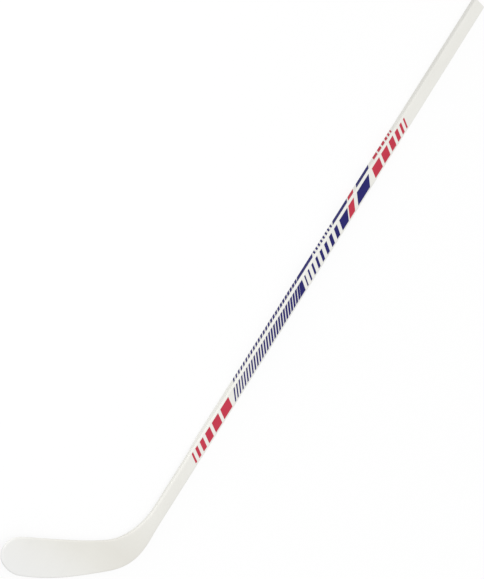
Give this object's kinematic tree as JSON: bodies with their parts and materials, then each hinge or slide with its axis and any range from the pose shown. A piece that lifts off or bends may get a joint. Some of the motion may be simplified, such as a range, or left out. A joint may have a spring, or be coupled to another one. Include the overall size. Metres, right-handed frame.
{
  "type": "ice hockey stick",
  "caption": "Wooden ice hockey stick: laminated shaft, curved blade on a glued tongue, painted glass facings and a glass-fibre sock.",
  "frame": {"origin": "middle of the stick's footprint, on the surface that its back face lies on", "axes": "+X along the shaft from the heel to the butt end, +Y towards the blade's side, +Z out of the front face, which the blade curves towards"},
  "size_m": [1.6254, 0.2718, 0.0282],
  "materials": {
    "birch": "planed, glued",
    "aspen": "planed, glued",
    "ash": "planed, glued",
    "painted_glass": "glass fibre in resin, satin white paint"
  },
  "bodies": {
    "root": {"centre_ply": "birch", "inner_core_ply_front": "aspen", "inner_core_ply_back": "aspen", "outer_core_ply_front": "aspen", "outer_core_ply_back": "aspen", "face_ply_front": "birch", "face_ply_back": "birch", "glass_facing_front": "painted_glass", "glass_facing_back": "painted_glass", "blade_core": "ash", "blade_lamination_front": "birch", "blade_lamination_back": "birch", "blade_sock": "painted_glass"}
  },
  "joints": []
}
